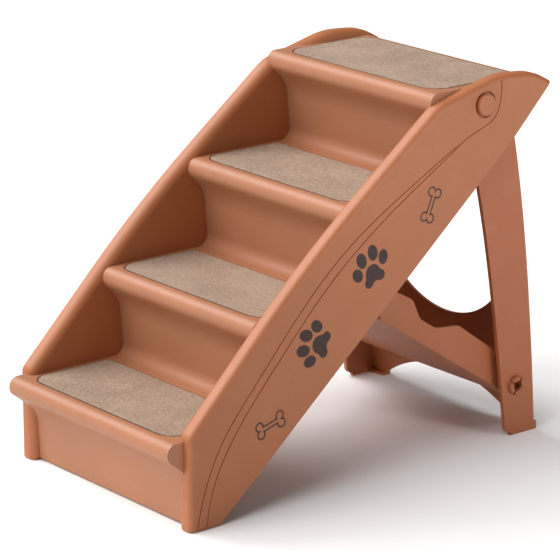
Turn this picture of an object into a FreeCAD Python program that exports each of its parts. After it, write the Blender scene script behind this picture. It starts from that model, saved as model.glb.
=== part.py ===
"""Folding pet stairs: four carpeted steps between two side panels, a folding rear leg frame and its brace.

Frame: +X to the right when looking along +Y at the first step, +Y to the rear, +Z up, millimetres.
The shapes are laid out from the front face of the front posts (Y = 0) and from the floor (Z = 0).
On export they are moved back by origin_y, so that the origin is the middle of the footprint.
"""

import FreeCAD, Part
import math
import os

V = FreeCAD.Vector

# Overall
width = 357.0                 # over the outer faces of the side panels
step_count = 4
rise = 122.8                  # from one tread to the next
drawn_rise = 122.8            # the outlines below are drawn for this rise, and their heights follow it
run = 140.7
first_tread = rise - 6.8      # height of the first tread
top_tread_rear = 572.0        # rear edge of the top tread
floor_gap = 3.0               # first riser above the floor


def high(z):
    """A height drawn for drawn_rise, at the chosen rise."""
    return z * rise / drawn_rise


def outline(*points):
    return [(y, high(z)) for y, z in points]


# Stair shell
shell_wall = 3.5
riser_foot_y = 8.0            # riser foot behind the step's own zero
riser_head_y = 1.0
first_riser_foot_y = 11.2     # the first riser stands back between the posts
first_riser_head_y = 8.0
riser_head_drop = 46.0        # below the tread
nose_y = -25.0                # front of the bull nose
nose_drop = 20.0
nose_top_radius = 13.0
nose_under_radius = 13.0
sweep_radius = 40.0           # riser into nose
foot_radius = 16.0            # tread into the next riser
rear_apron = 32.0             # turned-down rear edge of the top tread
rear_edge_radius = 9.0
# Noses that reach out over the rolled edges: how far short of the outer faces they stop, and how far back they go
shown_noses = {0: (11.5, 24.0), 3: (16.5, 60.0)}

# Side panels
side_width = 25.0             # over both skins
skin = 3.2
edge_wall = 7.0               # material under the rolled edge
inner_edge_radius = 11.0
outer_edge_radius = 7.0
post_height = high(122.0)
border_knots = outline((187.0, 309.0), (399.0, 472.2), (502.0, 497.5), (562.0, 493.0))
border_radii = [14.0, 1700.0, 60.0, 130.0, 90.0]    # at the post's top, then at each knot
panel_tip = (591.0, high(477.0))
tip_bend = (525.0, high(410.0))
tip_bend_radius = 500.0
panel_foot_length = 47.0
panel_foot_radius = 5.0
panel_lift = 1.5              # panels stand on the front feet
front_foot_length = 30.0
front_foot_height = 10.0

# Decorative grooves in the outer faces, from the hump down to the floor
groove_width = 1.8
groove_depth = 1.0
groove_inner = outline(
    (501.0, 496.0), (502.0, 467.0), (491.0, 443.0), (469.0, 433.0), (407.0, 406.0), (341.0, 371.0), (263.0, 325.0),
    (205.0, 279.0), (140.0, 212.0), (98.0, 165.0), (51.0, 108.0), (23.0, 50.0), (11.0, 3.0))
groove_outer = outline(
    (441.0, 422.0), (401.0, 398.0), (324.0, 352.0), (263.0, 310.0), (203.0, 259.0), (140.0, 193.0), (70.0, 112.0),
    (38.0, 56.0), (26.0, 3.0))

# Mats
mat_front = -6.0
mat_depth = 125.0
top_mat_depth = 143.0
mat_half_width = 147.5
mat_thickness = 2.8
mat_gap = 1.7                 # around the mat
mat_under_gap = 0.2
recess_depth = 2.4
mat_front_radius = 26.0
mat_rear_radius = 8.0
top_mat_rear_radius = 26.0

# Top hinge
pivot = (476.0, high(463.0))
pin_radius = 9.0
pin_fit = 0.06                # radial running fit
pin_head_radius = 14.2
pin_head_out = 4.4            # head beyond the panel's face
pin_head_round = 1.8
pocket_radius = 17.3
pocket_depth = 3.4
pocket_wall = 2.6
bearing_radius = 22.0

# Rear leg frame
leg_thickness = 6.0
leg_side_gap = 1.0            # to the inner skin
leg_head_radius = 19.0
leg_front = outline((482.0, 346.0), (499.0, 264.0), (517.0, 152.0), (534.0, 30.0))
leg_rear = outline((588.5, 6.0), (583.0, 83.0), (568.5, 236.0), (542.0, 406.0))
foot_height = 4.0
foot_front_radius = 10.0
panel_wall = 4.0
foot_lip = 4.0                # rear lip of the feet, behind the legs
cutout_radius = 136.0
cutout_height = high(264.0)   # centre of the round cut-out
arm_top = high(318.0)         # the cross panel's arms end here
arch_half_width = 128.0
arch_height = 40.0

# Brace
brace_pivot = (553.0, high(69.0))
brace_tip = (327.9, high(218.0))
brace_tail = 15.0
brace_outer = 150.0           # half width over the flanges
flange_wall = 4.0
flange_edge_radius = 0.8
plate_wall = 3.5
plate_drop = 14.5             # plate's underside below the pivot line
tail_top = 24.0               # top of the flanges above the pivot line, at the rear
rear_top = 31.0
waist_top = 12.5
front_top = 29.0
waist = (165.0, 197.0)        # along the brace, where the flanges are low
waist_ramp = 26.0
tip_top = 8.0
tip_chamfer = 10.0
brace_pin_radius = 9.5
brace_pin_bore = 7.0
brace_pin_lip = 12.8
brace_pin_lip_depth = 5.0
brace_pin_collar = 14.0
pin_slot = 3.2
face_gap = 0.3                # between faces that turn past each other

# Catch lugs
catch_x = 70.0
catch_width = 12.0
catch_outline = outline((270.0, 245.0), (290.0, 214.0), (315.0, 211.0), (318.0, 226.0), (300.0, 250.0))

# Worked out
half = width / 2
inner_face = half - side_width            # inner faces of the side panels
channel_inner = inner_face + skin
channel_outer = half - skin
skin_gap = channel_outer - channel_inner  # hollow between the skins
leg_inner = channel_inner + leg_side_gap
leg_outer = leg_inner + leg_thickness
brace_length = math.dist(brace_pivot, brace_tip)
brace_angle = math.degrees(math.atan2(brace_tip[1] - brace_pivot[1], brace_tip[0] - brace_pivot[0]))
rearmost = max(panel_tip[0], leg_rear[0][0] + foot_lip)
origin_y = (nose_y + rearmost) / 2


def tread_height(i):
    return first_tread + i * rise


def edge_list(points, radii, closed=False):
    """Straight edges through (y, z) points, with an arc of the given radius at each."""
    pts = [V(0, y, z) for y, z in points]
    n = len(pts)
    starts, ends, arcs = [], [], []
    for i, p in enumerate(pts):
        r = radii[i]
        if r <= 0 or (not closed and i in (0, n - 1)):
            starts.append(p)
            ends.append(p)
            arcs.append(None)
            continue
        a = (pts[i - 1] - p).normalize()
        b = (pts[(i + 1) % n] - p).normalize()
        corner = a.getAngle(b)
        cut = r / math.tan(corner / 2)
        mid = (a + b).normalize()
        centre = p + mid * (r / math.sin(corner / 2))
        starts.append(p + a * cut)
        ends.append(p + b * cut)
        arcs.append(Part.Arc(starts[i], centre - mid * r, ends[i]).toShape())
    edges = []
    for i in range(n if closed else n - 1):
        if arcs[i]:
            edges.append(arcs[i])
        j = (i + 1) % n
        if (starts[j] - ends[i]).Length > 1e-6:
            edges.append(Part.makeLine(ends[i], starts[j]))
    if not closed and arcs[n - 1]:
        edges.append(arcs[n - 1])
    return edges


def shifted(points, distance):
    """The same path moved sideways by distance, to the right of its direction of travel."""
    out = []
    n = len(points)
    for i, (y, z) in enumerate(points):
        dirs = []
        if i > 0:
            dirs.append((y - points[i - 1][0], z - points[i - 1][1]))
        if i < n - 1:
            dirs.append((points[i + 1][0] - y, points[i + 1][1] - z))
        normals = []
        for dy, dz in dirs:
            length = math.hypot(dy, dz)
            normals.append((dz / length, -dy / length))
        if len(normals) == 1:
            ny, nz = normals[0]
            scale = distance
        else:
            ny = normals[0][0] + normals[1][0]
            nz = normals[0][1] + normals[1][1]
            scale = distance * 2 / (ny * ny + nz * nz)
        out.append((y + ny * scale, z + nz * scale))
    return out


def prism(edges, x0, x1):
    """A solid between x0 and x1 from a closed loop of edges in the YZ plane."""
    face = Part.Face(Part.Wire(Part.__sortEdges__(edges)))
    face.translate(V(x0, 0, 0))
    return face.extrude(V(x1 - x0, 0, 0))


def polygon(points, x0, x1, radii=None):
    return prism(edge_list(points, radii or [0] * len(points), closed=True), x0, x1)


def cylinder_x(centre, radius, x0, x1):
    return Part.makeCylinder(radius, x1 - x0, V(x0, centre[0], centre[1]), V(1, 0, 0))


def line(a, b):
    return Part.makeLine(V(0, *a), V(0, *b))


def mirrored(shape):
    return shape.mirror(V(0, 0, 0), V(1, 0, 0))


def stair_path():
    """Corner points of the steps' upper face from the first riser to the rear apron, with their radii."""
    points = [(first_riser_foot_y, floor_gap)]
    radii = [0]
    for i in range(step_count):
        y = i * run
        z = tread_height(i)
        head_y = riser_head_y if i else first_riser_head_y
        points += [(y + head_y, z - riser_head_drop), (y + nose_y, z - nose_drop), (y + nose_y, z)]
        radii += [sweep_radius, nose_under_radius, nose_top_radius]
        if i < step_count - 1:
            points.append((y + run + riser_foot_y, z))
            radii.append(foot_radius)
    top = tread_height(step_count - 1)
    points += [(top_tread_rear, top), (top_tread_rear, top - rear_apron)]
    radii += [rear_edge_radius, 0]
    return points, radii


def stair_under_path():
    """The steps' lower face: each bend keeps its centre, so the wall stays even."""
    points, radii = stair_path()
    under = []
    for i, r in enumerate(radii):
        if r == 0:
            under.append(0)
            continue
        (ay, az), (by, bz), (cy, cz) = points[i - 1], points[i], points[i + 1]
        turn = (by - ay) * (cz - bz) - (bz - az) * (cy - by)
        under.append(r - shell_wall if turn < 0 else r + shell_wall)
    return shifted(points, shell_wall), under


def mat_block(i, grow, z0, z1):
    """A mat's block in plan, with rounded corners, grown by grow all round."""
    last = i == step_count - 1
    depth = top_mat_depth if last else mat_depth
    rear_radius = (top_mat_rear_radius if last else mat_rear_radius) + grow
    y0 = i * run + mat_front - grow
    y1 = i * run + mat_front + depth + grow
    x = mat_half_width + grow
    block = Part.makeBox(2 * x, y1 - y0, z1 - z0, V(-x, y0, z0))
    upright = [e for e in block.Edges if abs(e.Vertexes[0].Z - e.Vertexes[1].Z) > (z1 - z0) / 2]
    front = [e for e in upright if e.CenterOfMass.y < y0 + 1]
    rear = [e for e in upright if e.CenterOfMass.y > y1 - 1]
    return block.makeFillet(mat_front_radius + grow, front).makeFillet(rear_radius, rear)


def panel_border(inset=0.0):
    """Corner points of a side panel's front and top, moved in by inset, and the radii of its bends."""
    knots = [(0, panel_lift), (0, post_height)] + border_knots + [panel_tip]
    radii = [0] + [r - inset if r > inset else 0 for r in border_radii] + [0]
    return (shifted(knots, inset) if inset else knots), radii


def panel_block():
    """A solid side panel with its rolled edge, before it is hollowed."""
    knots, radii = panel_border()
    border = edge_list(knots, radii)
    under = [panel_tip, tip_bend, (panel_foot_length, panel_lift), knots[0]]
    block = prism(border + edge_list(under, [0, tip_bend_radius, panel_foot_radius, 0]), inner_face, half)
    middles = [e.valueAt((e.FirstParameter + e.LastParameter) / 2) for e in border]
    rolled = {inner_face: [], half: []}
    for e in block.Edges:
        m = e.valueAt((e.FirstParameter + e.LastParameter) / 2)
        if any(math.hypot(m.y - p.y, m.z - p.z) < 0.01 for p in middles):
            rolled[inner_face if m.x < inner_face + 0.01 else half].append(e)
    sizes = {inner_face: inner_edge_radius, half: outer_edge_radius}
    for x, edges in rolled.items():
        block = block.makeFillet(sizes[x], matching(block, edges))
    return block


def matching(shape, edges):
    """The edges of shape that lie where the given edges do."""
    found = []
    for e in shape.Edges:
        m = e.valueAt((e.FirstParameter + e.LastParameter) / 2)
        for old in edges:
            if (old.valueAt((old.FirstParameter + old.LastParameter) / 2) - m).Length < 0.5:
                found.append(e)
                break
    return found


def softened(plate, faces, radius):
    """A plate across X with the edges of its two sides rounded."""
    rims = []
    for e in plate.Edges:
        box = e.BoundBox
        if box.XLength < 1e-6 and any(abs(box.XMin - x) < 1e-6 for x in faces):
            rims.append(e)
    return plate.makeFillet(radius, rims)


def steps_region(x0, x1):
    """Everything above the steps' lower face, as a block to trim skins with."""
    points, radii = stair_under_path()
    high = tread_height(step_count)
    far = top_tread_rear + 60
    first = points[0]
    last = points[-1]
    loop = edge_list(points, radii)
    loop += [line(last, (far, last[1])), line((far, last[1]), (far, high))]
    loop += [line((far, high), (-60, high)), line((-60, high), (-60, first[1])), line((-60, first[1]), first)]
    return prism(loop, x0, x1)


def stair_flight():
    upper, upper_radii = stair_path()
    lower, lower_radii = stair_under_path()
    loop = edge_list(upper, upper_radii) + edge_list(lower, lower_radii)
    loop += [line(upper[0], lower[0]), line(upper[-1], lower[-1])]
    steps = prism(loop, -inner_face, inner_face)
    for i in range(step_count):
        z = tread_height(i)
        steps = steps.cut(mat_block(i, mat_gap, z - recess_depth, z + 20))
    return steps


def nose_end(i):
    """The right end of step i's nose, which reaches out over the panel's rolled edge."""
    y = i * run
    z = tread_height(i)
    points, radii = stair_path()
    k = 1 + 4 * i
    low = z - riser_head_drop - 20
    gap, back = shown_noses[i]
    corners = [(points[k][0], low)] + points[k:k + 3] + [(y + back, z), (y + back, low)]
    return polygon(corners, inner_face, half - gap, [0] + radii[k:k + 3] + [0, 0])


def side_panel():
    """The right side panel; the left one is its mirror image."""
    block = panel_block()
    knots, radii = panel_border(edge_wall)
    reach = 80
    last = knots[-1]
    corners = [last, (last[0] + reach, last[1] - reach), (panel_foot_length + reach, -reach)]
    corners += [(knots[0][0], -reach), knots[0]]
    edges = edge_list(knots, radii)
    for a, b in zip(corners, corners[1:]):
        edges.append(line(a, b))
    body = block.cut(prism(edges, channel_inner, channel_outer))
    below_steps = prism(edges, inner_face, channel_inner).cut(steps_region(inner_face - 1, channel_inner + 1))
    body = body.cut(below_steps)

    body = body.fuse(cylinder_x(pivot, bearing_radius, inner_face, channel_inner).common(block))
    cup_start = half - pocket_depth - pocket_wall
    body = body.fuse(cylinder_x(pivot, pocket_radius + pocket_wall, cup_start, channel_outer))
    body = body.cut(cylinder_x(pivot, pocket_radius, half - pocket_depth, half + 5))
    body = body.cut(cylinder_x(pivot, pin_radius, inner_face - 1, half))
    for path in (groove_inner, groove_outer):
        body = body.cut(groove(path))
    return body


def smooth(points):
    curve = Part.BSplineCurve()
    curve.interpolate([V(0, y, z) for y, z in points])
    return curve


def groove(path):
    """A fine groove of even width along a smooth curve in the outer face."""
    curve = smooth(path)
    count = 40
    left, right = [], []
    for i in range(count + 1):
        t = curve.FirstParameter + (curve.LastParameter - curve.FirstParameter) * i / count
        p = curve.value(t)
        tangent = curve.tangent(t)[0]
        side_y = -tangent.z * groove_width / 2
        side_z = tangent.y * groove_width / 2
        left.append((p.y + side_y, p.z + side_z))
        right.append((p.y - side_y, p.z - side_z))
    loop = [smooth(left).toShape(), smooth(right).toShape(), line(left[0], right[0]), line(left[-1], right[-1])]
    return prism(loop, half - groove_depth, half + 3)


def pivot_pin():
    shaft = cylinder_x(pivot, pin_radius, inner_face - 1.5, half - pocket_depth)
    head = cylinder_x(pivot, pin_head_radius, half - pocket_depth, half + pin_head_out)
    rim = [e for e in head.Edges if e.BoundBox.XMin > half + pin_head_out - 0.01]
    return shaft.fuse(head.makeFillet(pin_head_round, rim))


def front_foot():
    return Part.makeBox(skin_gap, front_foot_length, front_foot_height, V(channel_inner, edge_wall, 0))


def leg():
    """The right leg: a curved plate that narrows to the foot, with a round head about the top pivot."""
    head_front = (pivot[0] - leg_head_radius, pivot[1])
    head_rear = (pivot[0] + leg_head_radius, pivot[1])
    bottom_front = (leg_front[-1][0] + 3, foot_height)
    bottom_rear = (leg_rear[0][0] + 0.5, foot_height)
    loop = [line(head_rear, head_front), line(head_front, leg_front[0]), smooth(leg_front).toShape()]
    loop += edge_list([leg_front[-1], bottom_front, bottom_rear], [0, foot_front_radius, 0])
    loop += [line(bottom_rear, leg_rear[0]), smooth(leg_rear).toShape(), line(leg_rear[-1], head_rear)]
    plate = prism(loop, leg_inner, leg_outer)
    plate = plate.fuse(cylinder_x(pivot, leg_head_radius, leg_inner, leg_outer)).removeSplitter()
    plate = plate.cut(cylinder_x(pivot, pin_radius + pin_fit, leg_inner - 1, leg_outer + 1))
    return plate.cut(cylinder_x(brace_pivot, brace_pin_radius + pin_fit, leg_inner - 1, leg_outer + 1))


def cross_panel():
    """A thin wall between the legs along their rear edges, with a deep round cut-out and an arch below."""
    inner = shifted(leg_rear, -panel_wall)
    loop = [smooth(leg_rear).toShape(), smooth(inner).toShape()]
    loop += [line(leg_rear[0], inner[0]), line(leg_rear[-1], inner[-1])]
    wall = prism(loop, -leg_inner, leg_inner)
    y0 = leg_rear[-1][0] - 60
    depth = 160
    wall = wall.cut(Part.makeBox(2 * leg_inner + 2, depth, 400, V(-leg_inner - 1, y0, arm_top)))
    wall = wall.cut(Part.makeCylinder(cutout_radius, depth, V(0, y0, cutout_height), V(0, 1, 0)))
    wall = wall.cut(Part.makeBox(2 * cutout_radius, depth, 300, V(-cutout_radius, y0, cutout_height)))
    low = leg_rear[0][1]
    arch_radius = (arch_half_width ** 2 + arch_height ** 2) / (2 * arch_height)
    arch = Part.makeCylinder(arch_radius, depth, V(0, y0, low + arch_height - arch_radius), V(0, 1, 0))
    return wall.cut(arch)


def rear_foot(leg_solid, panel_solid):
    """A shoe under the right leg and the end of the cross panel, with a lip up the rear."""
    rear = leg_rear[0][0] + foot_lip
    front = leg_front[-1][0] + 3 + foot_front_radius
    sole = Part.makeBox(leg_thickness, rear - front, foot_height, V(leg_inner, front, 0))
    back_depth = panel_wall + foot_lip + 6
    back_width = leg_outer - arch_half_width - 2
    back = Part.makeBox(back_width, back_depth, foot_height + 7, V(arch_half_width + 2, rear - back_depth, 0))
    lowered = Part.makeBox(back_width, back_depth - foot_lip - panel_wall, 20,
                           V(arch_half_width + 2, rear - back_depth, foot_height))
    return sole.fuse(back.cut(lowered)).cut(leg_solid).cut(panel_solid).removeSplitter()


def brace_place(shape):
    """Moves a shape from the brace's own axes (Y along it, Z up from the pivot line) to its place in use."""
    placed = shape.copy()
    placed = placed.mirror(V(0, 0, 0), V(0, 1, 0))
    placed.rotate(V(0, 0, 0), V(1, 0, 0), brace_angle - 180)
    placed.translate(V(0, brace_pivot[0], brace_pivot[1]))
    return placed


def brace_flange():
    """The right flange: deep at both ends with a low waist between, and a chamfered tip."""
    low = -plate_drop
    y0, y1 = waist
    top = [(-brace_tail, tail_top), (0, tail_top + 1), (y0 - 1.4 * waist_ramp, rear_top)]
    top += [(y0, waist_top), (y1, waist_top), (y1 + waist_ramp, front_top), (brace_length - 14, front_top - 2)]
    points = [(-brace_tail, low)] + top + [(brace_length, tip_top), (brace_length, low + tip_chamfer)]
    points.append((brace_length - tip_chamfer, low))
    radii = [6, 12, 0, 14, 16, 14, 16, 8, 6, 3, 3]
    flange = polygon(points, brace_outer - flange_wall, brace_outer, radii)
    return brace_place(softened(flange, (brace_outer,), flange_edge_radius))


def brace_plate():
    x = brace_outer - flange_wall
    length = brace_length - tip_chamfer + brace_tail - 4
    plate = Part.makeBox(2 * x, length, plate_wall, V(-x, 4 - brace_tail, -plate_drop))
    return brace_place(plate)


def brace_pin():
    """The right snap pin: a collar between flange and leg, and a hollow split end with a lip outside the leg."""
    end = leg_outer + face_gap + brace_pin_lip_depth
    collar = cylinder_x(brace_pivot, brace_pin_collar, brace_outer, leg_inner - face_gap)
    barrel = cylinder_x(brace_pivot, brace_pin_radius, leg_inner - face_gap, end)
    lip = cylinder_x(brace_pivot, brace_pin_lip, leg_outer + face_gap, end)
    rim = [e for e in lip.Edges if e.BoundBox.XMin > end - 0.01]
    pin = collar.fuse(barrel).fuse(lip.makeChamfer(1.4, rim))
    pin = pin.cut(cylinder_x(brace_pivot, brace_pin_bore, leg_inner - face_gap, end + 1))
    span = 3 * brace_pin_lip
    slot = Part.makeBox(end, span, pin_slot, V(leg_inner + 1, brace_pivot[0] - span / 2, brace_pivot[1] - pin_slot / 2))
    for turn in (brace_angle, brace_angle + 90):
        cutter = slot.copy()
        cutter.rotate(V(0, *brace_pivot), V(1, 0, 0), turn)
        pin = pin.cut(cutter)
    return pin


def brace_catch(x, flight):
    lug = polygon(catch_outline, x - catch_width / 2, x + catch_width / 2)
    return lug.cut(steps_region(x - catch_width, x + catch_width)).cut(flight)


def save(name, shape):
    out = shape.copy()
    out.translate(V(0, -origin_y, 0))
    out.exportStep("parts/" + name + ".step")


def save_pair(name, shape):
    save(name + "_right", shape)
    save(name + "_left", mirrored(shape))


def main():
    os.makedirs("parts", exist_ok=True)
    flight = stair_flight()
    panel = side_panel()
    block = panel_block()
    for i in shown_noses:
        end = nose_end(i).cut(block)
        end = [s for s in end.Solids if s.BoundBox.YMin < i * run + nose_y + 1][0]
        flight = flight.fuse(end).fuse(mirrored(end))
    flight = flight.removeSplitter()
    save("stair_flight", flight)
    save_pair("side_panel", panel)
    for i in range(step_count):
        floor = tread_height(i) - recess_depth + mat_under_gap
        save("tread_mat_%d" % (i + 1), mat_block(i, 0, floor, floor + mat_thickness))
    save_pair("pivot_pin", pivot_pin())
    save_pair("front_foot", front_foot())
    save_pair("brace_catch", brace_catch(catch_x, flight))
    right_leg = leg()
    rear_wall = cross_panel()
    save_pair("leg", right_leg)
    save("cross_panel", rear_wall)
    save_pair("rear_foot", rear_foot(right_leg, rear_wall))
    save_pair("brace_flange", brace_flange())
    save("brace_plate", brace_plate())
    save_pair("brace_pin", brace_pin())


main()
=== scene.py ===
"""Folding pet stairs: moulded plastic, printed side panels, felt carpets and a plain studio.

The file is laid out as an add-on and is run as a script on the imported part.
Lengths are metres, in the part's own frame: +Z up, +Y from the first step to the rear.
"""

import functools
import math

import bpy
from mathutils import Matrix, Vector


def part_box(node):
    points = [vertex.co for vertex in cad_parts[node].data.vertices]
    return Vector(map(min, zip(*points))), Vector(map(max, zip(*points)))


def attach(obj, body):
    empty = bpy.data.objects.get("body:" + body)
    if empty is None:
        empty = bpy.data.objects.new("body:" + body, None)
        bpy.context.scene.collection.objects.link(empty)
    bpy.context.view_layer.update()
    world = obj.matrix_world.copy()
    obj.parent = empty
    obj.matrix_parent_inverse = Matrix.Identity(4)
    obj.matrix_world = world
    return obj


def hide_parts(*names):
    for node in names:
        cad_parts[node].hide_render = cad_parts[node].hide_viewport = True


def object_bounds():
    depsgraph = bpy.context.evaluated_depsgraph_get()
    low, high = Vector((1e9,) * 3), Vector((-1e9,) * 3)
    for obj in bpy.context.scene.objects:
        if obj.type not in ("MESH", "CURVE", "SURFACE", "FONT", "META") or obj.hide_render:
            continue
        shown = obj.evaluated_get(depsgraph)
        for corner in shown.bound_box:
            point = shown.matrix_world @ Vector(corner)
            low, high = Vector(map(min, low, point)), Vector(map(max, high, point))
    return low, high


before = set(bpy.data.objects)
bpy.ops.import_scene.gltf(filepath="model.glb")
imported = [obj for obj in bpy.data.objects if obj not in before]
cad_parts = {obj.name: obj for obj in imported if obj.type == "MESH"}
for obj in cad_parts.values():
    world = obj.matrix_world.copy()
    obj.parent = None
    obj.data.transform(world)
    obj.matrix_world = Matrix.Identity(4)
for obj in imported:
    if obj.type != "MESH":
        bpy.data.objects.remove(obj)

bl_info = {
    "name": "Folding pet stairs",
    "version": (1, 0, 0),
    "blender": (4, 5, 0),
    "location": "3D View > Sidebar > Pet stairs",
    "description": "Finishes the folding pet stairs and sets up a studio round them",
    "category": "Object",
}

CAD_LOW, CAD_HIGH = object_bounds()
PANEL_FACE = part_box("side_panel_right")[1].x
NEAR = 0.0001  # two places closer than this count as one

SHELL_NODES = ("stair_flight", "brace_catch_right", "brace_catch_left", "front_foot_right", "front_foot_left")
PANEL_NODES = ("side_panel_right", "side_panel_left")
PIN_NODES = ("pivot_pin_right", "pivot_pin_left")
LEG_NODES = ("leg_right", "leg_left", "cross_panel", "rear_foot_right", "rear_foot_left")
BRACE_NODES = ("brace_plate", "brace_flange_right", "brace_flange_left", "brace_pin_right", "brace_pin_left")
STEPS = (1, 2, 3, 4)

# Prints on each side panel: the middle of each, as (y, z), and its turn in degrees
PAWS = (((0.0073, 0.2730), 23.0), ((-0.0768, 0.2000), 76.0))
BONES = (((0.1016, 0.3473), 67.5), ((-0.1584, 0.1128), 16.2))
BONE_STROKE = 0.0022
PRINT_BLUR = 0.0006  # width of a print's soft edge
PRINT_DEPTH = 0.0004  # how far in from the outer face the panel still takes ink

# Directions that the wide lights come from, the lamp's place and its target, and the floor
KEY_FROM = (-0.74, -0.20, 0.64)
FRONT_FROM = (-0.12, -0.84, 0.53)
OVERHEAD_FROM = (-0.10, -0.48, 0.87)
FILL_TARGET = Vector((PANEL_FACE, CAD_HIGH.y * 0.75, CAD_HIGH.z * 0.66))
FILL_PLACE = FILL_TARGET + Vector((1.6, 0.45, 0.30))
FLOOR_SIZE = 60.0
FLOOR_DROP = 0.0002


# Sizes and colours a user would change


class StairColours(bpy.types.PropertyGroup):
    """Colours of the plastic, the carpets and the prints."""

    # Partly painted light: the side panels' plastic made paler and less saturated, standing in for the light
    # on the steps' noses and risers.
    steps_plastic_paler_lit: bpy.props.FloatVectorProperty(
        name="Steps",
        description="Colour of the moulded steps",
        subtype="COLOR",
        default=(0.392, 0.160, 0.076),
        min=0,
        max=1,
    )
    panel_plastic: bpy.props.FloatVectorProperty(
        name="Side panels",
        description="Colour of the side panels and the top pins",
        subtype="COLOR",
        default=(0.395, 0.130, 0.045),
        min=0,
        max=1,
    )
    frame_plastic: bpy.props.FloatVectorProperty(
        name="Leg frame",
        description="Colour of the legs, cross panel and brace",
        subtype="COLOR",
        default=(0.375, 0.106, 0.034),
        min=0,
        max=1,
    )
    rubbed: bpy.props.FloatVectorProperty(
        name="Rubbed plastic",
        description="Paler colour where paws and hands rub the plastic",
        subtype="COLOR",
        default=(0.50, 0.215, 0.115),
        min=0,
        max=1,
    )
    ink: bpy.props.FloatVectorProperty(
        name="Prints",
        description="Colour of the paws and bones printed on the side panels",
        subtype="COLOR",
        default=(0.026, 0.005, 0.002),
        min=0,
        max=1,
    )
    felt_light: bpy.props.FloatVectorProperty(
        name="Felt, light fibres",
        description="Colour of the felt's light fibres",
        subtype="COLOR",
        default=(0.45, 0.32, 0.235),
        min=0,
        max=1,
    )
    felt_dark: bpy.props.FloatVectorProperty(
        name="Felt, dark fibres",
        description="Colour of the felt's dark fibres",
        subtype="COLOR",
        default=(0.20, 0.125, 0.080),
        min=0,
        max=1,
    )


class CarpetSizes(bpy.types.PropertyGroup):
    """How the tread carpets are cut and how rough they are."""

    front_radius: bpy.props.FloatProperty(
        name="Front corners",
        description="Radius of the carpets' front corners",
        unit="LENGTH",
        default=0.026,
        min=0.001,
    )
    rear_radius: bpy.props.FloatProperty(
        name="Rear corners",
        description="Radius of the lower carpets' rear corners",
        unit="LENGTH",
        default=0.008,
        min=0.001,
    )
    edge_radius: bpy.props.FloatProperty(
        name="Cut edge",
        description="How far the cut upper edge is rounded over",
        unit="LENGTH",
        default=0.0011,
        min=0.0002,
    )
    mesh_pitch: bpy.props.FloatProperty(
        name="Mesh pitch",
        description="Size of the carpet mesh's cells",
        unit="LENGTH",
        default=0.0014,
        min=0.001,
    )
    lump_height: bpy.props.FloatProperty(
        name="Felt lumps",
        description="Height of the small lumps in the felt",
        unit="LENGTH",
        default=0.0005,
        min=0.0,
    )
    wave_height: bpy.props.FloatProperty(
        name="Felt waves",
        description="Height of the wide waves in a carpet that has been walked on",
        unit="LENGTH",
        default=0.0005,
        min=0.0,
    )


class StudioSetup(bpy.types.PropertyGroup):
    """Camera and lights round the stairs."""

    azimuth: bpy.props.FloatProperty(
        name="Azimuth",
        description="Direction the camera looks from, turned from the front towards +X",
        subtype="ANGLE",
        default=math.radians(50.73),
    )
    elevation: bpy.props.FloatProperty(
        name="Elevation",
        description="Camera's angle above the horizon",
        subtype="ANGLE",
        default=math.radians(16.85),
    )
    distance: bpy.props.FloatProperty(
        name="Distance",
        description="From the camera to the point it looks at",
        unit="LENGTH",
        default=3.94,
        min=1.0,
    )
    aim: bpy.props.FloatVectorProperty(
        name="Aim",
        description="Point the camera looks at",
        subtype="TRANSLATION",
        unit="LENGTH",
        default=(0.0797, -0.0626, 0.2573),
    )
    lens: bpy.props.FloatProperty(
        name="Lens",
        description="Focal length in millimetres on a 36 mm sensor",
        default=201.7,
        min=20,
    )
    key_strength: bpy.props.FloatProperty(
        name="Key light",
        description="Strength of the soft light from the left and above",
        default=2.2,
        min=0,
    )
    key_softness: bpy.props.FloatProperty(
        name="Key softness",
        description="How wide the key light is, seen from the stairs",
        subtype="ANGLE",
        default=math.radians(40),
    )
    front_strength: bpy.props.FloatProperty(
        name="Front light",
        description="Strength of the wide light from the front",
        default=1.1,
        min=0,
    )
    front_softness: bpy.props.FloatProperty(
        name="Front softness",
        description="How wide the front light is, seen from the stairs",
        subtype="ANGLE",
        default=math.radians(60),
    )
    top_strength: bpy.props.FloatProperty(
        name="Overhead light",
        description="Strength of the wide light from above",
        default=2.0,
        min=0,
    )
    fill_power: bpy.props.FloatProperty(
        name="Fill light",
        description="Power of the soft lamp beside the right panel",
        unit="POWER",
        default=44.0,
        min=0,
    )
    fill_radius: bpy.props.FloatProperty(
        name="Fill lamp",
        description="Radius of the soft lamp beside the right panel",
        unit="LENGTH",
        default=0.22,
        min=0,
    )
    fill_beam: bpy.props.FloatProperty(
        name="Fill beam",
        description="How wide the soft lamp's beam is",
        subtype="ANGLE",
        default=math.radians(36),
        min=math.radians(5),
        max=math.radians(170),
    )
    sky: bpy.props.FloatProperty(
        name="Surroundings",
        description="Strength of the even white surroundings",
        default=0.15,
        min=0,
    )
    floor: bpy.props.FloatVectorProperty(
        name="Floor",
        description="Colour of the plain pale floor",
        subtype="COLOR",
        default=(0.96, 0.96, 0.96),
        min=0,
        max=1,
    )


# Materials


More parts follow.
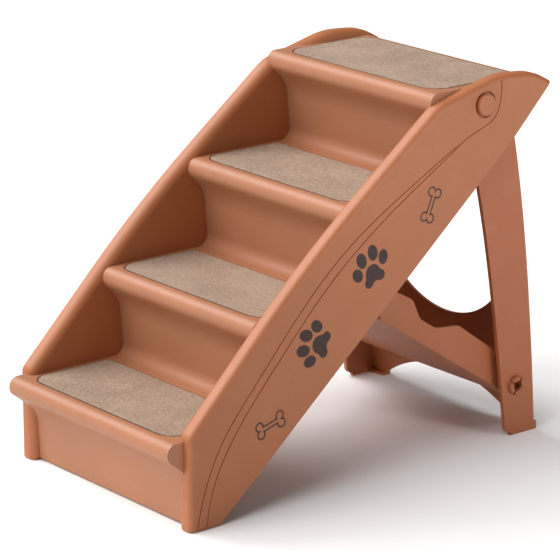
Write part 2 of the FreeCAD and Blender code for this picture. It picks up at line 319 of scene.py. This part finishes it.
class Wire:
    """A number from a node's socket, which takes Python's own arithmetic."""

    def __init__(self, paint, socket):
        self.paint = paint
        self.socket = socket

    def _math(self, operation, *values, clamp=False):
        return self.paint.node("ShaderNodeMath", {"operation": operation, "use_clamp": clamp}, values)

    def __add__(self, other):
        return self._math("ADD", self, other)

    def __radd__(self, other):
        return self._math("ADD", other, self)

    def __sub__(self, other):
        return self._math("SUBTRACT", self, other)

    def __rsub__(self, other):
        return self._math("SUBTRACT", other, self)

    def __mul__(self, other):
        return self._math("MULTIPLY", self, other)

    def __rmul__(self, other):
        return self._math("MULTIPLY", other, self)

    def __truediv__(self, other):
        return self._math("DIVIDE", self, other)

    def __abs__(self):
        return self._math("ABSOLUTE", self)

    def root(self):
        return self._math("SQRT", self)

    def least(self, other):
        return self._math("MINIMUM", self, other)

    def most(self, other):
        return self._math("MAXIMUM", self, other)

    def melt(self, other, width):
        """The lesser of two distances, with the corner between them filled in."""
        return self._math("SMOOTH_MIN", self, other, width)

    def over(self, limit):
        return self._math("GREATER_THAN", self, limit)

    def clamped(self):
        return self._math("ADD", self, 0.0, clamp=True)

    def rise(self, low, high):
        """0 below low, 1 above high, smooth between."""
        inputs = {"Value": self, "From Min": low, "From Max": high}
        return self.paint.node("ShaderNodeMapRange", {"interpolation_type": "SMOOTHSTEP"}, inputs)


class Paint:
    """One material and the nodes that make it."""

    def __init__(self, name):
        self.material = bpy.data.materials.new(name)
        self.material.use_nodes = True
        self.tree = self.material.node_tree
        self.shader = self.tree.nodes["Principled BSDF"]

    def node(self, kind, settings=None, inputs=(), output=0):
        """Adds a node, sets its settings first and then its sockets, and gives back one of its outputs."""
        made = self.tree.nodes.new(kind)
        for key, value in (settings or {}).items():
            setattr(made, key, value)
        pairs = inputs.items() if isinstance(inputs, dict) else enumerate(inputs)
        for key, value in pairs:
            self.plug(value, made.inputs[key])
        return Wire(self, made.outputs[output])

    def plug(self, value, socket):
        """Links a wire to a socket, or sets the socket to a plain value."""
        if isinstance(value, Wire):
            self.tree.links.new(value.socket, socket)
        else:
            socket.default_value = value

    def place(self):
        """Each point's own place in the part's frame."""
        return self.node("ShaderNodeTexCoord", output="Object")

    def axes(self, place):
        """The x, y and z of a place."""
        first = self.node("ShaderNodeSeparateXYZ", inputs=(place,))
        outputs = first.socket.node.outputs
        return tuple(Wire(self, outputs[i]) for i in range(3))

    def mapped(self, place, kind="POINT", move=(0, 0, 0), turn=(0, 0, 0), scale=(1, 1, 1)):
        inputs = {"Vector": place, "Location": move, "Rotation": turn, "Scale": scale}
        return self.node("ShaderNodeMapping", {"vector_type": kind}, inputs)

    def noise(self, place, scale, detail=2.0, roughness=0.5, distortion=0.0):
        inputs = {"Vector": place, "Scale": scale, "Detail": detail}
        inputs.update({"Roughness": roughness, "Distortion": distortion})
        return self.node("ShaderNodeTexNoise", inputs=inputs)

    def mix(self, factor, first, second):
        """A colour between first and second."""
        first, second = (c if isinstance(c, Wire) else (*c, 1.0) for c in (first, second))
        return self.node("ShaderNodeMix", {"data_type": "RGBA"}, {0: factor, 6: first, 7: second}, output=2)

    def bump(self, height, distance, strength):
        inputs = {"Height": height, "Distance": distance, "Strength": strength}
        return self.node("ShaderNodeBump", inputs=inputs)

    def finish(self, **sockets):
        """Plugs the shader's sockets, with _ for a space in a name, and gives back the material."""
        for key, value in sockets.items():
            self.plug(value, self.shader.inputs[key.replace("_", " ")])
        return self.material


def tinted(colour, factor):
    return tuple(c * factor for c in colour)


def disc(u, v, centre, radius):
    """Distance outside a disc's edge."""
    du = u - centre[0]
    dv = v - centre[1]
    return (du * du + dv * dv).root() - radius


def toe(u, v, centre, radii, turn):
    """Distance, roughly, outside the edge of an oval that is turned by an angle in degrees."""
    c, s = math.cos(math.radians(turn)), math.sin(math.radians(turn))
    du = u - centre[0]
    dv = v - centre[1]
    across = (du * c + dv * s) / radii[0]
    along = (dv * c - du * s) / radii[1]
    return ((across * across + along * along).root() - 1.0) * min(radii)


def print_axes(paint, place, centre, turn):
    """A print's own axes on the side panel: u across it and v up it."""
    _, u, v = paint.axes(paint.mapped(place, "TEXTURE", move=(0, *centre), turn=(math.radians(turn), 0, 0)))
    return u, v


def paw_print(paint, place, centre, turn):
    """Distance outside a paw print: one pad and four toes, alike on both sides of its middle."""
    u, v = print_axes(paint, place, centre, turn)
    side = abs(u)
    pad = disc(side, v, (0.0, 0.0034), 0.0118).melt(disc(side, v, (0.0102, -0.0054), 0.0068), 0.006)
    outer = toe(side, v, (0.0224, 0.0140), (0.0076, 0.0098), -20)
    inner = toe(side, v, (0.0098, 0.0282), (0.0079, 0.0108), -4)
    return pad.least(outer).least(inner)


def bone_outline(paint, place, centre, turn, stroke):
    """Distance outside a bone's drawn line: a shaft with two knobs at each end."""
    knob_along, knob_across, knob_radius, shaft_half = 0.0165, 0.0053, 0.0056, 0.0030
    u, v = print_axes(paint, place, centre, turn)
    along = abs(u)
    across = abs(v)
    knob = disc(along, across, (knob_along, knob_across), knob_radius)
    shaft = across.most(along - knob_along + shaft_half) - shaft_half
    shape = knob.melt(shaft, 0.0022)
    return abs(shape) - stroke / 2


def print_mask(paint, place):
    """1 where a side panel's outer face is printed, 0 elsewhere."""
    edges = [paw_print(paint, place, centre, turn) for centre, turn in PAWS]
    edges += [bone_outline(paint, place, centre, turn, BONE_STROKE) for centre, turn in BONES]
    ink = functools.reduce(Wire.least, edges)
    across, _, _ = paint.axes(place)
    return (0.5 - ink / PRINT_BLUR).clamped() * abs(across).over(PANEL_FACE - PRINT_DEPTH)


def plastic_paint(name, colour, rubbed, prints=None):
    """Moulded plastic: fine satin grain, faint flow marks, rubbed patches and, if given a colour, prints."""
    paint = Paint(name)
    place = paint.place()
    cloud = paint.noise(place, 7.0, 3.0, 0.55)
    fleck = paint.noise(place, 210.0, 3.0, 0.6)
    grain = paint.noise(place, 1900.0, 1.0)
    flow = paint.noise(paint.mapped(place, scale=(3.0, 26.0, 26.0)), 5.0, 4.0, 0.6, 0.8)
    scuff = paint.noise(paint.mapped(place, turn=(0.6, 0.2, 0.9), scale=(60.0, 9.0, 200.0)), 4.0, 3.0, 0.7)
    rub = (paint.noise(place, 16.0, 4.0, 0.65).rise(0.52, 0.78) * 0.14).clamped()
    tone = cloud * 0.6 + fleck * 0.25 + flow * 0.15
    base = paint.mix(tone.rise(0.30, 0.70), tinted(colour, 0.93), tinted(colour, 1.06))
    base = paint.mix(rub, base, rubbed)
    roughness = 0.43 + flow * 0.10 + fleck * 0.06 + scuff.rise(0.58, 0.80) * 0.10
    height = grain * 0.6 + fleck * 0.4
    if prints:
        mask = print_mask(paint, place)
        worn = 1.0 - fleck.rise(0.56, 0.80) * 0.25
        base = paint.mix((mask * worn).clamped(), base, prints)
        roughness = roughness + mask * 0.06
        height = height + mask * 0.8
    paint.shader.inputs["Specular IOR Level"].default_value = 0.5
    return paint.finish(Base_Color=base, Roughness=roughness, Normal=paint.bump(height, 0.00006, 0.5))


def felt_paint(light, dark):
    """Needle-punched felt: light and dark fibres, in clumps, worn a little in patches, and painted shade on
    the cut edges.
    """
    paint = Paint("Needle felt")
    place = paint.place()
    fibre = paint.noise(place, 900.0, 4.0, 0.75, 1.5)
    strand = paint.noise(paint.mapped(place, turn=(0, 0, 0.5), scale=(1.0, 0.25, 1.0)), 1100.0, 2.0, 0.6, 0.8)
    clump = paint.noise(place, 230.0, 3.0, 0.7)
    patch = paint.noise(place, 22.0, 3.0, 0.6)
    wear = paint.noise(place, 9.0, 4.0, 0.65, 0.6)
    tone = fibre * 0.34 + strand * 0.18 + clump * 0.26 + patch * 0.12 + wear * 0.10
    base = paint.mix(tone.rise(0.38, 0.62), dark, light)
    dots = paint.noise(place, 380.0, 1.0)
    base = paint.mix(dots.rise(0.64, 0.74) * 0.7, base, tinted(dark, 0.4))
    base = paint.mix((1.0 - dots).rise(0.66, 0.75) * 0.55, base, tinted(light, 1.35))
    # Painted shade: faces that turn away from straight up, which are the carpet's cut edges, are darkened to
    # a near-black tint of the dark fibres' colour.
    _, _, upward = paint.axes(paint.node("ShaderNodeNewGeometry", output="Normal"))
    base = paint.mix((0.75 - upward).clamped().rise(0.0, 0.45), base, tinted(dark, 0.12))
    height = fibre * 0.5 + strand * 0.2 + clump * 0.3
    paint.shader.inputs["Sheen Weight"].default_value = 0.12
    paint.shader.inputs["Sheen Roughness"].default_value = 0.6
    paint.shader.inputs["Specular IOR Level"].default_value = 0.2
    return paint.finish(Base_Color=base, Roughness=0.94, Normal=paint.bump(height, 0.0007, 0.9))


def dress(names, material):
    """Gives CAD nodes a material."""
    for name in names:
        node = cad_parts[name]
        if not node.material_slots:
            node.data.materials.append(material)
        for slot in node.material_slots:
            slot.material = material


# Modelling


def clear_selection():
    """Leaves nothing selected, so that an operator acts only on what is chosen next."""
    for item in list(bpy.context.selected_objects):
        item.select_set(False)


def only(piece):
    """Selects one piece alone and makes it the active one."""
    clear_selection()
    piece.select_set(True)
    bpy.context.view_layer.objects.active = piece


def block(name, low, high):
    """A box between two corners, with its place in its mesh."""
    clear_selection()
    bpy.ops.mesh.primitive_cube_add(size=1, location=(low + high) / 2, scale=high - low)
    piece = bpy.context.object
    piece.name = piece.data.name = name
    bpy.ops.object.transform_apply(location=True, rotation=False, scale=True)
    return piece


def round_edges(piece, wanted, radius, segments):
    """Bevels the edges whose two ends pass the test."""
    only(piece)
    bpy.ops.object.mode_set(mode="EDIT")
    bpy.ops.mesh.select_mode(type="EDGE")
    bpy.ops.mesh.select_all(action="DESELECT")
    bpy.ops.object.mode_set(mode="OBJECT")
    found = 0
    for edge in piece.data.edges:
        a, b = (piece.data.vertices[i].co for i in edge.vertices)
        edge.select = bool(wanted(a, b))
        found += edge.select
    if not found:
        raise RuntimeError(f"{piece.name}: no edge to round")
    bpy.ops.object.mode_set(mode="EDIT")
    bpy.ops.mesh.bevel(offset=radius, segments=segments, affect="EDGES")
    bpy.ops.object.mode_set(mode="OBJECT")


def apply_modifier(piece, kind, **settings):
    """Adds a modifier to a piece and applies it."""
    only(piece)
    modifier = piece.modifiers.new(kind.title(), kind)
    for key, value in settings.items():
        setattr(modifier, key, value)
    bpy.ops.object.modifier_apply(modifier=modifier.name)


def clouds(name, size, depth):
    """A cloudy height texture for felt."""
    texture = bpy.data.textures.new(name, "CLOUDS")
    texture.noise_scale = size
    texture.noise_depth = depth
    return texture


def cut_carpet(name, node, sizes, rear_radius):
    """A felt carpet on the place of a CAD mat: cut corners, a soft upper edge and a slightly uneven top."""
    low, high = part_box(node)
    piece = block(name, low, high)
    middle = (low + high) / 2

    def front_corner(a, b):
        return abs(a.z - b.z) > NEAR and a.y < middle.y and b.y < middle.y

    def rear_corner(a, b):
        return abs(a.z - b.z) > NEAR and a.y > high.y - NEAR and b.y > high.y - NEAR

    def upper_rim(a, b):
        return a.z > high.z - NEAR and b.z > high.z - NEAR

    round_edges(piece, front_corner, sizes.front_radius, 12)
    round_edges(piece, rear_corner, rear_radius, 8)
    round_edges(piece, upper_rim, sizes.edge_radius, 3)
    apply_modifier(piece, "REMESH", mode="VOXEL", voxel_size=sizes.mesh_pitch, adaptivity=0.0)
    pile = piece.vertex_groups.new(name="pile")
    pile.add([v.index for v in piece.data.vertices if v.co.z > middle.z], 1.0, "REPLACE")
    lumps = (clouds("Felt lumps", 0.0035, 2), sizes.lump_height)
    waves = (clouds("Felt waves", 0.045, 1), sizes.wave_height)
    for texture, height in (lumps, waves):
        settings = {"texture": texture, "texture_coords": "LOCAL", "vertex_group": "pile"}
        apply_modifier(piece, "DISPLACE", strength=height, **settings)
    only(piece)
    bpy.ops.object.shade_smooth()
    return piece


def copied(piece, name, move):
    """A copy with its own mesh, moved in its mesh."""
    twin = piece.copy()
    twin.data = piece.data.copy()
    twin.name = twin.data.name = name
    twin.data.transform(Matrix.Translation(move))
    bpy.context.collection.objects.link(twin)
    return twin


# Stage


def add_light(name, kind, place, towards, **settings):
    """A light at place that shines on towards."""
    data = bpy.data.lights.new(name, kind)
    for key, value in settings.items():
        setattr(data, key, value)
    light = bpy.data.objects.new(name, data)
    bpy.context.scene.collection.objects.link(light)
    light.location = place
    light.rotation_euler = (place - towards).to_track_quat("Z", "Y").to_euler()


def soft_light(name, source, strength, softness):
    """A wide, even light from the direction of source."""
    add_light(name, "SUN", Vector(source), Vector(), energy=strength, angle=softness)


def lay_floor(colour):
    """Adds the wide pale floor just under the feet."""
    clear_selection()
    bpy.ops.mesh.primitive_plane_add(size=FLOOR_SIZE, location=(0, 0, CAD_LOW.z - FLOOR_DROP))
    floor = bpy.context.object
    floor.name = "floor"
    paint = Paint("Pale floor")
    paint.shader.inputs["Specular IOR Level"].default_value = 0.1
    speck = paint.noise(paint.place(), 30.0, 3.0)
    material = paint.finish(Base_Color=paint.mix(speck, tinted(colour, 0.99), colour), Roughness=0.8)
    floor.data.materials.append(material)


def light_surroundings(strength):
    """Fills the world with an even white light."""
    world = bpy.data.worlds.new("Studio")
    world.use_nodes = True
    background = world.node_tree.nodes["Background"]
    background.inputs["Color"].default_value = (1.0, 1.0, 1.0, 1.0)
    background.inputs["Strength"].default_value = strength
    bpy.context.scene.world = world


def set_camera(studio):
    """Adds the camera on the line back from the point it looks at."""
    level = math.cos(studio.elevation)
    east, north = math.sin(studio.azimuth) * level, -math.cos(studio.azimuth) * level
    back = Vector((east, north, math.sin(studio.elevation)))
    lens = bpy.data.cameras.new("camera")
    lens.lens = studio.lens
    lens.sensor_width = 36.0
    lens.clip_end = 100.0
    camera = bpy.data.objects.new("camera", lens)
    bpy.context.scene.collection.objects.link(camera)
    camera.location = Vector(studio.aim) + back * studio.distance
    camera.rotation_euler = (math.pi / 2 - studio.elevation, 0.0, studio.azimuth)
    bpy.context.scene.camera = camera


# Operators


class PETSTAIRS_OT_finish_shell(bpy.types.Operator):
    """Gives the steps, side panels, top pins, feet and catches their moulded plastic"""

    bl_idname = "petstairs.finish_shell"
    bl_label = "Finish the shell"

    def execute(self, context):
        colours = context.scene.stair_colours
        # The steps take the paler copy of the panels' plastic, which is painted light on the noses and
        # risers.
        dress(SHELL_NODES, plastic_paint("Moulded steps", colours.steps_plastic_paler_lit, colours.rubbed))
        dress(PIN_NODES, plastic_paint("Moulded pins", colours.panel_plastic, colours.rubbed))
        panel = plastic_paint("Printed side panel", colours.panel_plastic, colours.rubbed, prints=colours.ink)
        dress(PANEL_NODES, panel)
        return {"FINISHED"}


class PETSTAIRS_OT_finish_leg_frame(bpy.types.Operator):
    """Gives the legs, the cross panel, the rear feet and the brace their plastic"""

    bl_idname = "petstairs.finish_leg_frame"
    bl_label = "Finish the leg frame and brace"

    def execute(self, context):
        colours = context.scene.stair_colours
        legs = colours.frame_plastic
        dress(LEG_NODES, plastic_paint("Leg frame plastic", legs, colours.rubbed))
        dress(BRACE_NODES, plastic_paint("Brace plastic", tinted(legs, 0.96), colours.rubbed))
        return {"FINISHED"}


class PETSTAIRS_OT_lay_carpets(bpy.types.Operator):
    """Cuts the four felt carpets and lays them in the treads' recesses"""

    bl_idname = "petstairs.lay_carpets"
    bl_label = "Lay the carpets"

    def execute(self, context):
        colours = context.scene.stair_colours
        sizes = context.scene.carpet_sizes
        felt = felt_paint(colours.felt_light, colours.felt_dark)
        first = cut_carpet("carpet_1", "tread_mat_1", sizes, sizes.rear_radius)
        first.data.materials.append(felt)
        carpets = [first]
        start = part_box("tread_mat_1")[0]
        for i in STEPS[1:3]:
            carpets.append(copied(first, f"carpet_{i}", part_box(f"tread_mat_{i}")[0] - start))
        top = cut_carpet("carpet_4", "tread_mat_4", sizes, sizes.front_radius)
        top.data.materials.append(felt)
        carpets.append(top)
        for i, carpet in zip(STEPS, carpets):
            node = f"tread_mat_{i}"
            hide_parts(node)
            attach(carpet, "steps")
        return {"FINISHED"}


class PETSTAIRS_OT_set_stage(bpy.types.Operator):
    """Lays the pale floor and sets up the soft lights and the camera"""

    bl_idname = "petstairs.set_stage"
    bl_label = "Set the stage"

    def execute(self, context):
        studio = context.scene.studio_setup
        context.scene.view_settings.view_transform = "Standard"
        context.scene.view_settings.look = "None"
        lay_floor(studio.floor)
        light_surroundings(studio.sky)
        soft_light("key", KEY_FROM, studio.key_strength, studio.key_softness)
        soft_light("front", FRONT_FROM, studio.front_strength, studio.front_softness)
        soft_light("overhead", OVERHEAD_FROM, studio.top_strength, studio.front_softness)
        fill = {"energy": studio.fill_power, "shadow_soft_size": studio.fill_radius}
        beam = {"spot_size": studio.fill_beam, "spot_blend": 0.9}
        add_light("fill", "SPOT", FILL_PLACE, FILL_TARGET, **fill, **beam)
        set_camera(studio)
        return {"FINISHED"}


class PETSTAIRS_PT_sidebar(bpy.types.Panel):
    """Shows the buttons that finish the pieces, and the colours, carpet sizes and studio settings"""

    bl_label = "Pet stairs"
    bl_idname = "PETSTAIRS_PT_sidebar"
    bl_space_type = "VIEW_3D"
    bl_region_type = "UI"
    bl_category = "Pet stairs"

    def draw(self, context):
        layout = self.layout
        for operator in OPERATORS:
            layout.operator(operator.bl_idname)
        for group in (context.scene.stair_colours, context.scene.carpet_sizes, context.scene.studio_setup):
            box = layout.box()
            for key in group.bl_rna.properties.keys():
                if key not in ("rna_type", "name"):
                    box.prop(group, key)


GROUPS = {"stair_colours": StairColours, "carpet_sizes": CarpetSizes, "studio_setup": StudioSetup}
OPERATORS = (
    PETSTAIRS_OT_set_stage,
    PETSTAIRS_OT_finish_shell,
    PETSTAIRS_OT_finish_leg_frame,
    PETSTAIRS_OT_lay_carpets,
)


def register():
    for name, group in GROUPS.items():
        bpy.utils.register_class(group)
        setattr(bpy.types.Scene, name, bpy.props.PointerProperty(type=group))
    for item in (*OPERATORS, PETSTAIRS_PT_sidebar):
        bpy.utils.register_class(item)


def unregister():
    for item in reversed((*OPERATORS, PETSTAIRS_PT_sidebar)):
        bpy.utils.unregister_class(item)
    for name, group in reversed(list(GROUPS.items())):
        delattr(bpy.types.Scene, name)
        bpy.utils.unregister_class(group)


def main():
    register()
    bpy.ops.petstairs.set_stage()
    bpy.ops.petstairs.finish_shell()
    bpy.ops.petstairs.finish_leg_frame()
    bpy.ops.petstairs.lay_carpets()


if __name__ == "__main__":
    main()
